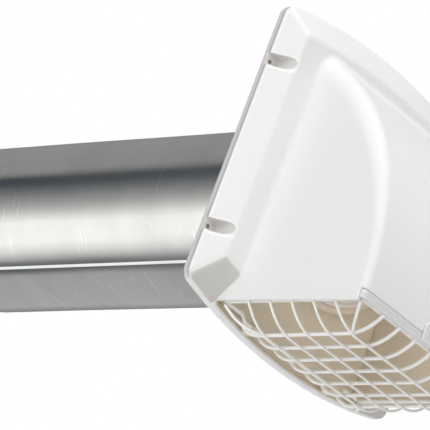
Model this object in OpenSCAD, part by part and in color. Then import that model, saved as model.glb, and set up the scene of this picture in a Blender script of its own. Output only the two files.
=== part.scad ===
// Wide-mouth wall exhaust hood for a 4 inch air duct: a moulded hood with a wall flange, a metal
// tailpiece, a back-draught damper hinged in its frame, and a wire bird guard that swings down.
// Origin: on the duct's axis, in the plane of the wall. +Y runs back along the duct, the hood
// faces -Y, +Z is up. Lengths are in millimetres.

/* [Wall flange] */
// Width of the flange between its straight sides
flange_w = 175; // [165:1:200]
// Length of each straight side
flange_side_h = 172; // [166:1:200]
// How far the top and bottom edges bow outwards in the middle
flange_bow = 12.5; // [4:0.5:18]
// Radius of the flange's corners, seen from the front
flange_corner_r = 7; // [3:0.5:12]
// Thickness of the flange's outer rim
rim_t = 5; // [4:0.25:7]
// How far the raised panel stands off the wall
panel_rise = 19; // [14:0.5:24]
// Width of the bevel between rim and panel, at each side
bevel_side = 9; // [6:0.5:11]
// Width of the bevel between rim and panel, at the corners' top and bottom
bevel_end = 15; // [8:0.5:18]
// How far the raised panel's top and bottom edges bow outwards
panel_bow = 8.5; // [3:0.5:12]
// Wall thickness of the moulding
wall = 2.2; // [1.6:0.1:3]

/* [Screw pockets] */
// Distance of each screw hole from the flange's side
screw_inset = 3.5; // [3:0.25:5]
// Distance between the upper and lower screw holes
screw_dz = 105; // [80:1:120]
// Height of the screw pattern's centre above the duct's axis
screw_rise = -2; // [-6:0.5:6]
// Diameter of each screw hole
screw_hole_d = 4.6; // [3.5:0.1:5.5]
// Width of each pocket that a screw head sits in
pocket_w = 10.4; // [9:0.1:12]
// Thickness of the pocket's floor
pocket_floor = 3; // [2:0.25:3.5]

/* [Cowl] */
// Width of the cowl over its cheeks
cowl_w = 127; // [120:0.5:132]
// Furthest reach of the cowl's front face from the wall
cowl_reach = 116; // [100:1:130]
// Radius of the front face's curve, seen from the side
cowl_r = 187; // [160:1:220]
// How far that curve's centre lies below the mouth's edge at the flange
cowl_axis_drop = 5.5; // [0:0.5:10]
// Radius of the edge between cheek and front face
cowl_edge_r = 6; // [3:0.5:9]
// How far the mouth's edge at the flange lies below the flange's straight sides
mouth_drop = 3; // [1:0.25:5]
// Slope of the mouth, falling towards the front
mouth_tilt = 1; // [0:0.25:3]
// Depth of the skirt along the flange's bottom edge, below the mouth
skirt_depth = 8; // [6:0.5:12]

/* [Duct tailpiece] */
// Outer diameter of the tailpiece
duct_d = 101.6; // [98:0.1:104]
// Length of the tailpiece behind the wall plane
tail_len = 279; // [100:1:305]
// Thickness of the tailpiece's sheet
tail_wall = 0.5; // [0.4:0.05:1]
// Width of the folded lock seam along the tailpiece
seam_w = 6; // [4:0.5:10]
// Direction of the seam about the duct's axis, from +X towards +Z
seam_angle = -122; // [-180:1:180]
// Length of the moulded collar that the tailpiece slides over
collar_len = 18; // [8:1:30]
// Radial clearance between collar and tailpiece
collar_gap = 0.15; // [0.05:0.05:0.4]

/* [Damper] */
// Outer diameter of the seat ring round the duct's mouth
seat_d = 113.4; // [110:0.2:115]
// Distance of the seat ring's face from the wall
seat_depth = 10; // [6:0.5:12]
// Diameter of the damper flap
flap_d = 106; // [102:0.5:109]
// Thickness of the flap
flap_t = 1.6; // [1.2:0.1:2.5]
// Gap between the closed flap and its seat
seat_gap = 0.3; // [0.2:0.05:0.6]
// How far the hinge pin lies behind the flap's seat side, so that the flap falls shut
pin_back = 1.3; // [0.5:0.1:2]
// Diameter of the hinge pin
pin_d = 3; // [2:0.1:4]
// Radial running clearance of the flap's knuckles on the pin
pin_gap = 0.05; // [0.02:0.01:0.1]
// Length of each knuckle
knuckle_len = 16; // [8:1:22]
// Distance between the two hinge ears, inside
ear_span = 66; // [56:1:76]
// Thickness of each hinge ear
ear_t = 2.5; // [2:0.25:4]

/* [Bird guard] */
// Number of wires that run from front to back
long_wires = 7; // [5:2:9]
// Spacing of those wires
long_pitch = 14; // [11:0.1:14.2]
// Diameter of those wires and of the rim
long_d = 2.2; // [1.8:0.1:2.6]
// Number of wires that run from side to side
cross_wires = 5; // [3:1:6]
// Spacing of those wires
cross_pitch = 16.25; // [10:0.25:16.5]
// Distance of the rearmost of those wires from the wall
cross_first = 30.7; // [30:0.1:36]
// Diameter of those wires
cross_d = 1.7; // [1.4:0.1:2]
// Depth of the basket below its rim
basket_depth = 10.5; // [8:0.5:14]
// Radius to which the wires are bent up at the basket's edge
bend_r = 27; // [24:0.5:32]
// Gap left between wires that are welded to each other
weld_gap = 0.05; // [0.02:0.01:0.1]
// Clearance between the guard and the cowl
guard_gap = 0.4; // [0.3:0.05:0.8]

/* [Front rail] */
// Height of the rail that closes the mouth's front edge
rail_h = 4.8; // [4:0.1:6]
// Thickness of the rail
rail_t = 3.6; // [3:0.1:5]
// Width of the finger tab in the rail's middle
tab_w = 26; // [16:1:40]
// Height of the finger tab above the rail
tab_h = 9; // [5:0.5:14]
// Thickness of the finger tab
tab_t = 1.8; // [1.2:0.1:2.5]

/* [Hidden] */
$fn = 96;
eps = 0.01;
far = 400;
arc_steps = 14;
corner_steps = 5;

duct_r = duct_d / 2;
tail_bore_r = duct_r - tail_wall;
collar_r = tail_bore_r - collar_gap;
bore_r = collar_r - wall;
groove_depth = 0.5;
groove_gap = 0.3;
seam_start = collar_len + 2;
seam_groove_w = 0.8;

mouth_back_z = -flange_side_h / 2 - mouth_drop;
cowl_half = cowl_w / 2;
cowl_axis_z = mouth_back_z - cowl_axis_drop;
cowl_axis_y = cowl_r - cowl_reach;

screw_x = flange_w / 2 - screw_inset;
screw_r = screw_hole_d / 2;
pocket_r = pocket_w / 2;
boss_wall = 1.6;

seat_r = seat_d / 2;
pin_r = pin_d / 2;
pin_seat_gap = 0.02;
frame_gap = 0.1;
knuckle_wall = 1.4;
knuckle_r = pin_r + pin_gap + knuckle_wall;
ear_margin = 1;
ear_r = knuckle_r + ear_margin;
ear_gap = 0.4;
hinge_room_gap = 0.5;
flap_r = flap_d / 2;
flap_y = seat_depth + seat_gap;
flap_rim = 2.4;
hinge_y = flap_y - pin_back;
knuckle_gap = 0.35;
hinge_z = seat_r + knuckle_gap + knuckle_r;
pin_half = ear_span / 2 + ear_t;

long_r = long_d / 2;
cross_r = cross_d / 2;
rim_z = mouth_back_z + 0.2;
rim_x = cowl_half - wall - guard_gap - 2 * cross_r - long_r - weld_gap;
long_z = rim_z - basket_depth;
cross_z = long_z - long_r - cross_r - weld_gap;
last_cross = cross_first + (cross_wires - 1) * cross_pitch;
outer_long_x = (long_wires - 1) / 2 * long_pitch;

rail_proud = 1;
rail_out_r = cowl_r + rail_proud;
rail_in_r = rail_out_r - rail_t;
rail_gap = 0.35;
rail_half = cowl_half - 1.5;
rail_back = 8;
rail_top_z = mouth_back_z + 4.9;
rail_low_z = rail_top_z - rail_h;
ledge_t = 1.4;
ledge_reach = 2.2;
ledge_half = cowl_half - 14;
tab_gap = 0.5;

rail_seat_gap = 0.15;
front_y = sqrt(pow(rail_in_r, 2) - pow(rim_z + long_r - cowl_axis_z, 2)) - cowl_axis_y
    - rail_seat_gap - long_r;
rear_y = 12.8;
rear_z = rim_z - 3.6;
jog_in_x = outer_long_x + long_r;
jog_r = 2.6;
jog_lap = 1;
wire_sides = 10;
bend_step = 6;
wire_tip = 0.5;
hook_x = outer_long_x - long_pitch / 2;
hook_w = long_pitch - 2 * long_d - 1.6;
hook_r = long_r + 2;
hook_slot = long_d - 0.3;
hook_mouth_angle = 45;

LONG = [for (i = [1:long_wires]) i];
CROSS = [for (i = [1:cross_wires]) i];
CORNERS = [["rear_left", -1, -1], ["rear_right", 1, -1], ["front_left", -1, 1], ["front_right", 1, 1]];

// Points of a shape with two straight sides, bowed top and bottom edges and rounded corners:
// w and h are its half width and the half length of its sides.
function bowed_outline(w, h, bow, r) =
    let (
        arc_r = (w * w + bow * bow) / (2 * bow),
        arc_z = h + bow - arc_r,
        corner_z = arc_z + sqrt(pow(arc_r - r, 2) - pow(w - r, 2)),
        turn = atan2(corner_z - arc_z, w - r),
        right = [for (i = [0:corner_steps]) let (a = turn * i / corner_steps)
            [w - r + r * cos(a), corner_z + r * sin(a)]],
        middle = [for (i = [1:arc_steps - 1]) let (a = turn + (180 - 2 * turn) * i / arc_steps)
            [arc_r * cos(a), arc_z + arc_r * sin(a)]],
        left = [for (i = [corner_steps:-1:0]) [-right[i][0], right[i][1]]],
        upper = concat(right, middle, left)
    )
    concat(upper, [for (i = [len(upper) - 1:-1:0]) [upper[i][0], -upper[i][1]]]);

rim_outline = bowed_outline(flange_w / 2, flange_side_h / 2, flange_bow, flange_corner_r);
panel_outline = bowed_outline(
    flange_w / 2 - bevel_side, flange_side_h / 2 - bevel_end, panel_bow, flange_corner_r);
rim_inside = bowed_outline(
    flange_w / 2 - wall, flange_side_h / 2 - wall, flange_bow, flange_corner_r - wall / 2);
panel_inside = bowed_outline(
    flange_w / 2 - bevel_side - wall, flange_side_h / 2 - bevel_end - wall, panel_bow,
    flange_corner_r - wall / 2);

// Where a wire that is bent up at radius bend_r meets a rim wire lying on it: the bend's angle.
function bend_angle(flat_z, rim_height, inset) =
    acos((flat_z + bend_r - rim_height) / (bend_r - inset));

cross_inset = cross_r + long_r + weld_gap;
cross_flat_x = rim_x - (bend_r - cross_inset) * sin(bend_angle(cross_z, rim_z, cross_inset));

// How far the cross wires' bends lift a long wire that lies on them at x.
function lift(x) =
    let (over = max(0, abs(x) - cross_flat_x))
    bend_r - sqrt(pow(bend_r, 2) - pow(over, 2));

// A sheet of the outline given, from depth a to depth b in front of the wall plane.
module slab(outline, a, b) {
    translate([0, -a, 0]) rotate([90, 0, 0]) linear_extrude(b - a) polygon(outline);
}

// A block from depth a to depth b, from height low to height high, of half width w.
module block(w, a, b, low, high) {
    translate([-w, -b, low]) cube([2 * w, b - a, high - low]);
}

// A round bar about the duct's axis, from depth a to depth b.
module disc(r, a, b) {
    translate([0, -a, 0]) rotate([90, 0, 0]) cylinder(h = b - a, r = r);
}

// A round bar along X.
module crossbar(r, depth, z, x0, x1) {
    translate([x0, -depth, z]) rotate([0, 90, 0]) cylinder(h = x1 - x0, r = r);
}

// The cowl's rounded form: a wide wheel about the centre of the front face's curve.
module cowl_form(r, w, edge_r) {
    translate([0, cowl_axis_y, cowl_axis_z]) rotate([0, 90, 0]) rotate_extrude() {
        translate([0, -w]) square([r - edge_r, 2 * w]);
        translate([0, edge_r - w]) square([r, 2 * (w - edge_r)]);
        for (side = [-1, 1]) translate([r - edge_r, side * (w - edge_r)]) circle(r = edge_r);
    }
}

// Everything above the mouth's sloping plane, or with up = -1 everything below it.
module mouth_side(up) {
    translate([0, -skirt_depth, mouth_back_z]) rotate([mouth_tilt, 0, 0])
        translate([-far / 2, -far, up > 0 ? 0 : -far]) cube([far, 2 * far, far]);
}

module flange_form(rim, panel, rim_depth, panel_depth) {
    slab(rim, 0, rim_depth);
    hull() {
        slab(rim, rim_depth - eps, rim_depth);
        slab(panel, panel_depth - eps, panel_depth);
    }
}

module flange() {
    difference() {
        flange_form(rim_outline, panel_outline, rim_t, panel_rise);
        translate([0, eps, 0])
            flange_form(rim_inside, panel_inside, rim_t - wall / 2, panel_rise - wall);
    }
    for (side = [-1, 1], level = [-1, 1]) screw_boss(side, level);
}

module screw_place(side, level) {
    translate([side * screw_x, 0, screw_rise + level * screw_dz / 2]) rotate([90, 0, 0]) children();
}

// The solid round a screw pocket, inside the flange's bevel.
module screw_boss(side, level) {
    intersection() {
        screw_place(side, level) {
            cylinder(h = panel_rise, r = pocket_r + boss_wall);
            translate([side > 0 ? 0 : -far / 2, -pocket_r - boss_wall, 0])
                cube([far / 2, 2 * (pocket_r + boss_wall), panel_rise]);
        }
        flange_form(rim_outline, panel_outline, rim_t, panel_rise);
    }
}

// A pocket open at the front and at the flange's side, with its screw hole.
module screw_pocket(side, level) {
    screw_place(side, level) {
        translate([0, 0, pocket_floor]) cylinder(h = far, r = pocket_r);
        translate([side > 0 ? 0 : -far / 2, -pocket_r, pocket_floor]) cube([far / 2, pocket_w, far]);
        translate([0, 0, -1]) cylinder(h = far, r = screw_r);
    }
}

module cowl() {
    intersection() {
        cowl_form(cowl_r, cowl_half, cowl_edge_r);
        mouth_side(1);
        block(cowl_half, 0, cowl_r, -far, far);
    }
    hinge_room(0, wall);
}

module cowl_inside() {
    intersection() {
        cowl_form(cowl_r - wall, cowl_half - wall, cowl_edge_r - wall / 2);
        block(cowl_half, -1, cowl_r, -far, far);
    }
    hinge_room(-1, 0);
}

// The room that the damper's hinge ears need, from depth back. Only under a low cowl does it reach
// past the curved form, and then it stays inside the flange's raised panel.
module hinge_room(back, around) {
    reach = ear_r + hinge_room_gap + around;
    block(pin_half + hinge_room_gap + around, back, hinge_y + reach, 0, hinge_z + reach);
}

// The skirt that closes the hood below the mouth, along the flange's bottom edge.
module skirt() {
    difference() {
        intersection() {
            slab(rim_outline, 0, skirt_depth);
            block(cowl_half, -1, skirt_depth + 1, -far, mouth_back_z + wall);
        }
        intersection() {
            slab(rim_inside, wall, skirt_depth + 1);
            block(cowl_half - wall, 0, far, -far, far);
        }
    }
}

// One of the two ears that carry the damper's hinge pin.
module hinge_ear(x0) {
    crossbar(ear_r, hinge_y, hinge_z, x0, x0 + ear_t);
    translate([x0, -hinge_y, hinge_z - ear_r]) cube([ear_t, hinge_y - wall / 2, 2 * ear_r]);
}

// One of the two hooks that the guard's rear rim wire snaps into and turns in.
module guard_hook(x) {
    wire_r = long_r + pin_gap;
    difference() {
        union() {
            crossbar(hook_r, rear_y, rear_z, x - hook_w / 2, x + hook_w / 2);
            translate([x - hook_w / 2, -rear_y, rear_z - hook_r])
                cube([hook_w, rear_y - wall / 2, hook_r]);
        }
        crossbar(wire_r, rear_y, rear_z, x - hook_w, x + hook_w);
        translate([x, -rear_y, rear_z]) rotate([hook_mouth_angle, 0, 0])
            translate([-hook_w, -hook_slot / 2, 0]) cube([2 * hook_w, hook_slot, far]);
    }
}

module hood_shell() {
    color("white") difference() {
        union() {
            difference() {
                union() {
                    flange();
                    cowl();
                }
                cowl_inside();
                intersection() {
                    block(cowl_half, skirt_depth, far, -far, 0);
                    mouth_side(-1);
                }
                rail_notch();
            }
            skirt();
            for (side = [-1, 1]) guard_hook(side * hook_x);
        }
        for (side = [-1, 1], level = [-1, 1]) screw_pocket(side, level);
    }
}

// The notch in the front face's lower edge that the rail fills.
module rail_notch() {
    block(rail_half + rail_gap, cowl_reach - rail_back, far, -far, rail_top_z + rail_gap);
}

// The plate that closes the cowl's back. In front it has the damper's seat ring and hinge ears,
// and behind it the collar that the tailpiece slides over, with a shallow groove round its root.
module damper_frame() {
    color("white") difference() {
        union() {
            intersection() {
                cowl_form(cowl_r - wall - frame_gap, cowl_half - wall - frame_gap, cowl_edge_r - wall / 2);
                block(cowl_half, 0, wall, mouth_back_z + wall + frame_gap, far);
            }
            disc(seat_r, wall / 2, seat_depth);
            disc(collar_r, -collar_len, wall / 2);
            hinge_ear(ear_span / 2);
            hinge_ear(-ear_span / 2 - ear_t);
        }
        disc(bore_r, -collar_len - 1, seat_depth + 1);
        difference() {
            disc(duct_r + groove_gap, -1, groove_depth);
            disc(collar_r, -2, groove_depth + 1);
        }
        crossbar(pin_r + pin_seat_gap, hinge_y, hinge_z, -cowl_half + wall, cowl_half - wall);
    }
}

// Rolled sheet tube. Its lock seam is folded to the inside, with a groove along it outside.
module tailpiece_pipe() {
    color("silver") difference() {
        union() {
            difference() {
                disc(duct_r, -tail_len, 0);
                disc(tail_bore_r, -tail_len - 1, 1);
            }
            intersection() {
                difference() {
                    disc(duct_r - tail_wall / 2, -tail_len, -seam_start);
                    disc(tail_bore_r - tail_wall, -tail_len - 1, 0);
                }
                seam_strip(0, seam_w);
            }
        }
        seam_strip(duct_r - tail_wall / 2, seam_groove_w);
    }
}

// A block along the seam, from radius r outwards.
module seam_strip(r, width) {
    rotate([0, -seam_angle, 0]) translate([r, -1, -width / 2]) cube([far, tail_len + 2, width]);
}

module damper_flap() {
    color("gainsboro") difference() {
        union() {
            disc(flap_r, flap_y, flap_y + flap_t);
            difference() {
                disc(flap_r, flap_y, flap_y + flap_rim);
                disc(flap_r - wall, flap_y - 1, flap_y + flap_rim + 1);
            }
            for (side = [-1, 1]) damper_arm(side);
        }
        crossbar(pin_r + pin_gap, hinge_y, hinge_z, -cowl_half, cowl_half);
    }
}

// An arm that carries the flap from one knuckle on the hinge pin.
module damper_arm(side) {
    outer_x = ear_span / 2 - ear_gap;
    x0 = side > 0 ? outer_x - knuckle_len : -outer_x;
    crossbar(knuckle_r, hinge_y, hinge_z, x0, x0 + knuckle_len);
    translate([x0, -flap_y - flap_t, hinge_z / 2]) cube([knuckle_len, flap_t, hinge_z / 2]);
}

module damper_hinge_pin() {
    color("silver") crossbar(pin_r, hinge_y, hinge_z, -pin_half, pin_half);
}

// The rest of a wire's path in the XY plane from [x, y, heading]. Each step is a straight length,
// then a bend: [length, bend radius, angle to the left].
function path_on(steps, from, i = 0) =
    i == len(steps) ? [] :
    let (
        length = steps[i][0],
        radius = steps[i][1] * (steps[i][2] < 0 ? -1 : 1),
        a = from[2],
        x = from[0] + length * cos(a),
        y = from[1] + length * sin(a),
        bends = ceil(abs(steps[i][2]) / bend_step),
        done = concat(
            length > 0 ? [[x, y, a]] : [],
            [for (k = [1:1:bends]) let (b = a + steps[i][2] * k / bends)
                [x + radius * (sin(b) - sin(a)), y - radius * (cos(b) - cos(a)), b]])
    )
    concat(done, path_on(steps, done[len(done) - 1], i + 1));

// A round wire along that path, with a ring of corners at each point.
module wire_run(steps, from, r) {
    path = concat([from], path_on(steps, from));
    last = len(path) - 1;
    polyhedron(
        points = [for (p = path, k = [0:wire_sides - 1]) let (t = 360 * k / wire_sides)
            [p[0] - r * sin(p[2]) * cos(t), p[1] + r * cos(p[2]) * cos(t), r * sin(t)]],
        faces = concat(
            [[for (k = [0:wire_sides - 1]) k]],
            [for (i = [0:last - 1], k = [0:wire_sides - 1]) let (n = (k + 1) % wire_sides)
                [i, i + 1, i + 1, i] * wire_sides + [k, k, n, n]],
            [[for (k = [wire_sides - 1:-1:0]) last * wire_sides + k]]
        )
    );
}

// A wire bent up at both ends until a rim wire lies on it, drawn in the XY plane with its flat
// stretch at height flat_z. rims gives the two rim wires' places.
module basket_wire(flat_z, r, rims) {
    inset = r + long_r + weld_gap;
    tip = asin(wire_tip / bend_r);
    turn = [for (rim = rims) bend_angle(flat_z, rim[1], inset)];
    x0 = rims[0][0] + (bend_r - inset) * sin(turn[0]);
    x1 = rims[1][0] - (bend_r - inset) * sin(turn[1]);
    start = turn[0] + tip;
    wire_run(
        [[0, bend_r, start], [x1 - x0, bend_r, turn[1] + tip]],
        [x0 - bend_r * sin(start), flat_z + bend_r * (1 - cos(start)), -start], r);
}

module long_wire(i) {
    x = (i - (long_wires + 1) / 2) * long_pitch;
    color("white") translate([x, 0, 0]) rotate([90, 0, -90])
        basket_wire(long_z + lift(x), long_r, [[rear_y, rear_z], [front_y, rim_z]]);
}

module cross_wire(i) {
    y = cross_first + (i - 1) * cross_pitch;
    color("white") translate([0, -y, 0]) rotate([90, 0, 0])
        basket_wire(cross_z, cross_r, [[-rim_x, rim_z], [rim_x, rim_z]]);
}

// A wire from the basket's flat bottom up to one corner of the rim. side is -1 at the left, end is
// -1 at the rear.
module corner_wire(side, end) {
    from_crossing = long_r + cross_r + weld_gap;
    start = [outer_long_x + from_crossing, (end < 0 ? cross_first : last_cross) + end * from_crossing];
    corner = [rim_x, end < 0 ? rear_y : front_y];
    reach = norm(corner - start);
    rise = rim_z - long_r - cross_r - weld_gap - long_z;
    r = (reach * reach + rise * rise) / (2 * rise);
    color("white") translate([side * start[0], -start[1], long_z])
        rotate([0, 0, atan2(start[1] - corner[1], side * (corner[0] - start[0]))]) rotate([90, 0, 0])
        translate([0, r, 0]) rotate([0, 0, -90]) rotate_extrude(angle = acos(1 - rise / r))
        translate([r, 0]) circle(r = cross_r);
}

// The rear rim wire: its middle stretch is the hinge axis, and its ends jog up to the corners.
module guard_rim_rear() {
    jog_turn = acos(1 - (rim_z - rear_z) / (2 * jog_r));
    end = rim_x - 2 * long_r - weld_gap - jog_in_x - 2 * jog_r * sin(jog_turn);
    color("white") {
        crossbar(long_r, rear_y, rear_z, -jog_in_x, jog_in_x);
        for (side = [0, 1]) mirror([side, 0, 0]) translate([0, -rear_y, 0]) rotate([90, 0, 0])
            wire_run(
                [[jog_lap, jog_r, jog_turn], [0, jog_r, -jog_turn], [end, jog_r, 0]],
                [jog_in_x - jog_lap, rear_z, 0], long_r - eps);
    }
}

// A side rim wire. It stops short in front, where the rail's inside is rounded.
module guard_rim_side(side) {
    color("white") translate([side * rim_x, -rear_y + long_r, rim_z]) rotate([90, 0, 0])
        cylinder(h = front_y - rear_y + long_r, r = long_r);
}

module guard_rim_front() {
    half = rim_x - long_r - weld_gap;
    color("white") crossbar(long_r, front_y, rim_z, -half, half);
}

// A band that follows the cowl's front face between two radii and two heights.
module front_band(outer_r, inner_r, low, high, half) {
    intersection() {
        difference() {
            cowl_form(outer_r, cowl_half + outer_r - cowl_r, cowl_edge_r);
            cowl_form(inner_r, cowl_half + inner_r - cowl_r, cowl_edge_r - wall / 2);
        }
        block(half, cowl_reach - rail_back + rail_gap, far, low, high);
    }
}

// The rail along the mouth's front edge. A ledge behind it lies on the front rim wire, and a finger
// tab in its middle pulls the guard down.
module front_rail() {
    color("white") {
        front_band(rail_out_r, rail_in_r, rail_low_z, rail_top_z, rail_half);
        front_band(rail_in_r + eps, rail_in_r - ledge_reach, rim_z + long_r + weld_gap,
            rim_z + long_r + weld_gap + ledge_t, ledge_half);
        intersection() {
            front_band(cowl_r + tab_gap + tab_t, cowl_r + tab_gap, rail_low_z, far, tab_w / 2);
            rotate([90, 0, 0]) linear_extrude(far) tab_outline();
        }
    }
}

// The finger tab seen from the front, with a round top.
module tab_outline() {
    top = rail_top_z + tab_h;
    translate([-tab_w / 2, rail_low_z]) square([tab_w, top - rail_low_z - tab_w / 4]);
    translate([-tab_w / 4, rail_low_z]) square([tab_w / 2, top - rail_low_z]);
    for (side = [-1, 1]) translate([side * tab_w / 4, top - tab_w / 4]) circle(r = tab_w / 4);
}

hood_shell();
damper_frame();
tailpiece_pipe();
damper_flap();
damper_hinge_pin();
for (i = LONG) long_wire(i);
for (i = CROSS) cross_wire(i);
for (c = CORNERS)
    corner_wire(c[1], c[2]);
guard_rim_rear();
guard_rim_side(-1);  // guard_rim_left
guard_rim_side(1);  // guard_rim_right
guard_rim_front();
front_rail();
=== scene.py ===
"""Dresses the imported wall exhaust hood: moulded hood, sheet-metal tailpiece, damper and wire guard."""

import math

import bpy
import numpy as np
from mathutils import Matrix, Vector

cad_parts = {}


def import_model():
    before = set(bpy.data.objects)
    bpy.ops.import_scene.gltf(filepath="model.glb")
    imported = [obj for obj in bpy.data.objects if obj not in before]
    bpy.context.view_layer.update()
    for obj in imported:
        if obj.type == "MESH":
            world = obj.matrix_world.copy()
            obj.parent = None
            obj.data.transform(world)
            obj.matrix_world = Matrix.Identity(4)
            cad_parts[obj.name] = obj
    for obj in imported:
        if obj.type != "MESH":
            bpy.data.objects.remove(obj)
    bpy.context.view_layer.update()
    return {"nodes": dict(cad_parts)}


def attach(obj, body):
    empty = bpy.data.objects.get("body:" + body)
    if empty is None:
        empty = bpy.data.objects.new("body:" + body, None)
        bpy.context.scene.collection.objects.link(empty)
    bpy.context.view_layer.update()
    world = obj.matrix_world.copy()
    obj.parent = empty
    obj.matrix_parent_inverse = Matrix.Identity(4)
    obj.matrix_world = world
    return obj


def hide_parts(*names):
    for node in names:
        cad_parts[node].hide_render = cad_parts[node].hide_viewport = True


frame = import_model()

# Lengths are in millimetres, as on a drawing, and each mesh is scaled to metres when it is made.
# x is to the right seen from the front, depth is the distance in front of the wall plane, z is up.
MM = 0.001

# Radii of edges and fillets
HAIR = 0.1
FINE = 0.2
SHARP = 0.3
CRISP = 0.4
SOFT = 0.5
BLUNT = 0.6
ROUND = 1.0

# Wall flange
FLANGE_HALF = 87.5
FLANGE_SIDE = 86.0
FLANGE_BOW = 12.5
FLANGE_TOP = FLANGE_SIDE + FLANGE_BOW
FLANGE_CORNER = 5.5
MITRE_R = 2.5
RIM_EDGE = 0.5
PANEL_EDGE = 1.5
RIM_T = 5.0
RIM_LINE = (2.6, 4.3)
PANEL_RISE = 19.0
BEVEL_SIDE = 9.0
BEVEL_END = 15.0
BEVEL_END_SLOPE = 1.2
BEVEL_REACH = (-0.5, 1.3)
PANEL_BOW = 8.5
WALL = 2.2

# Screw pockets
SCREW_X = 84.0
SCREW_RISE = -2.0
SCREW_HALF_SPACING = 52.5
SCREW_HOLE_R = (0.9, 1.2)
SCREW_HOLE_EDGE = 0.15
POCKET_X = 81.4
POCKET_R = 3.5
POCKET_RISE = 0.4
POCKET_LIP = (0.4, 2.6)
LIP_BELOW = (1.0, 4.0)
LIP_DEPTH = (RIM_T - 1, RIM_T + 3)
POCKET_FLOOR = 3.0
BOSS_WALL = 1.6

# Cowl: a front face curved about a line across the hood, between two cheeks that widen downwards
COWL_R = 187.0
COWL_DEPTH = -71.0
COWL_Z = -94.5
COWL_EDGE = (4.5, 11.0)
COWL_EDGE_Z = (-70, 50)
COWL_EDGE_SHRINK = 0.8
CHEEK_TOP = (60.0, 61.2)
CHEEK_LOW = (-90.0, 63.5)
MOUTH_DEPTH = 8.0
MOUTH_Z = -89.0
MOUTH_TILT = math.radians(1.0)
SKIRT_DEPTH = 6.2
ROOT_FILLET = (0.7, 3.0)
ROOT_FILLET_Z = (-82, -60)

# Damper and its frame
SEAT_R = 56.7
SEAT_DEPTH = 10.0
BORE_R = 47.95
COLLAR_R = 50.15
COLLAR_LEN = 18.0
PLATE_GAP = 0.1
HINGE_DEPTH = 9.0
HINGE_Z = 60.0
PIN_R = 1.5
PIN_GAP = 0.05
EAR_X = (33.0, 35.5)
EAR_R = 3.95
FLAP_R = 53.0
FLAP_DEPTH = 10.3
FLAP_T = 1.6
FLAP_RIM_T = 2.4
KNUCKLE_X = (16.6, 32.6)
KNUCKLE_R = 2.95
KNUCKLE_FILLET = 0.8

# Tailpiece
DUCT_R = 50.8
DUCT_INSET = 0.1
TAIL_LEN = 279.0
TAIL_WALL = 0.5
TAIL_AROUND = 400
TAIL_ROWS = 90
TAIL_SHARP = math.radians(40)
WAVES = ((0.05, 3, 41, 0.0), (0.04, 5, -23, 1.3))
SEAM_ANGLE = math.radians(-121.2)
SEAM_STEP = 0.5
SEAM_W = 1.6
SEAM_BACK = 0.3
SEAM_FADE = (14, 20)
SEAM_DENSITY = 0.12

# Bird guard
LONG_R = 1.1
CROSS_R = 0.85
LONG_PITCH = 14.0
LONG_WIRES = 7
CROSS_WIRES = 5
CROSS_FIRST = 30.7
CROSS_PITCH = 16.25
BEND_R = 27.0
WELD_GAP = 0.05
WIRE_TIP = 0.5
RIM_X = 59.2
RIM_Z = -88.1
REAR_DEPTH = 12.8
REAR_Z = -92.4
REAR_SET = 2.2
FRONT_DEPTH = 112.02
LONG_Z = -99.3
DROP = (1.2, 0.3)
SINK = 0.6
CROSS_Z = LONG_Z - LONG_R - CROSS_R + SINK
CROSS_LEAN = (-1.2, 1.6)
JOG_R = 1.3
JOG_IN = 0.7
JOG_TURN = math.radians(72)
LONG_THIN = 0.04
CROSS_THIN = 0.1
SWELL = 0.1
SWELL_W = 1.6
HOOK_X = 35.0
HOOK_HALF_W = 2.5
HOOK_R = 3.1
HOOK_SLOT = 1.9
LONG_X = [(i - (LONG_WIRES - 1) / 2) * LONG_PITCH for i in range(LONG_WIRES)]
CROSS_DEPTH = [CROSS_FIRST + i * CROSS_PITCH for i in range(CROSS_WIRES)]

# Points along the wires and round them
BEND_POINTS = 14
FLAT_POINTS = 42
RIM_POINTS = 40
CORNER_POINTS = 16
STRAIGHT_POINTS = 24
JOG_POINTS = 7
END_POINTS = 6
WIRE_SIDES = 20
TIP_RINGS = 3
TIP_SHARE = 0.12
TIP_LENGTH = 0.7
ACROSS_WIRES = (0.31, 0.17, 0.93)  # a direction that no wire has

# Front rail and its finger tab
RAIL_OUT_R = 187.3
RAIL_T = 2.9
RAIL_END_T = 2.2
RAIL_BACK = 113.7
RAIL_CORNER = (4.5, 2.5)
RAIL_EDGE = 0.35
RAIL_LINES = (0.3, 0.55, 0.8)
RAIL_LINE_R = 0.25
RAIL_LOW = -88.9
RAIL_TOP = -84.1
RAIL_GAP = 0.55
LEDGE_LOW = -87.65
LEDGE_T = 1.4
LEDGE_REACH = 2.2
LEDGE_SINK = 0.5
LEDGE_HALF = 49.5
TAB_HALF = 13.0
TAB_TOP = -75.1
TAB_CORNER = 6.5
TAB_IN_R = 187.5
TAB_T = 1.8
TAB_BACK = 100.0
GRIP = 0.35
GRIP_PITCH = 2.6
GRIP_ABOVE = 6.0
GRIP_INSET = (1.2, 2.4)

# Fineness of each mesh: the grid's cell, and the share of the faces that is kept
HOOD_MESH = (0.85, 0.35)
HOOK_MESH = (0.35, 1.0)
SEAT_MESH = (0.8, 0.4)
FLAP_MESH = (0.55, 0.4)
RAIL_MESH = (0.35, 0.55)
GRID_BLOCK = 6
GRID_REACH = 1.5
GRID_MARGIN = (1.5, 2.5)
SEAT_GRID_TOP = 80.0
RAIL_GRID_ROOM = 3.0
SETTLE_PASSES = 3
SETTLE_PROBE = 0.05
SETTLE_STEP = 0.4
LEAST_SLOPE = 0.1
NORMAL_PROBE = 0.4


# ---------------------------------------------------------------- fields
# A field is negative inside a form and positive outside, and about a distance near its surface.

def both(a, b, r=0.0):
    """Where two forms overlap, with the edge between them rounded to radius r."""
    return np.minimum(np.maximum(a, b), -r) + np.hypot(np.maximum(a + r, 0), np.maximum(b + r, 0))


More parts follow.
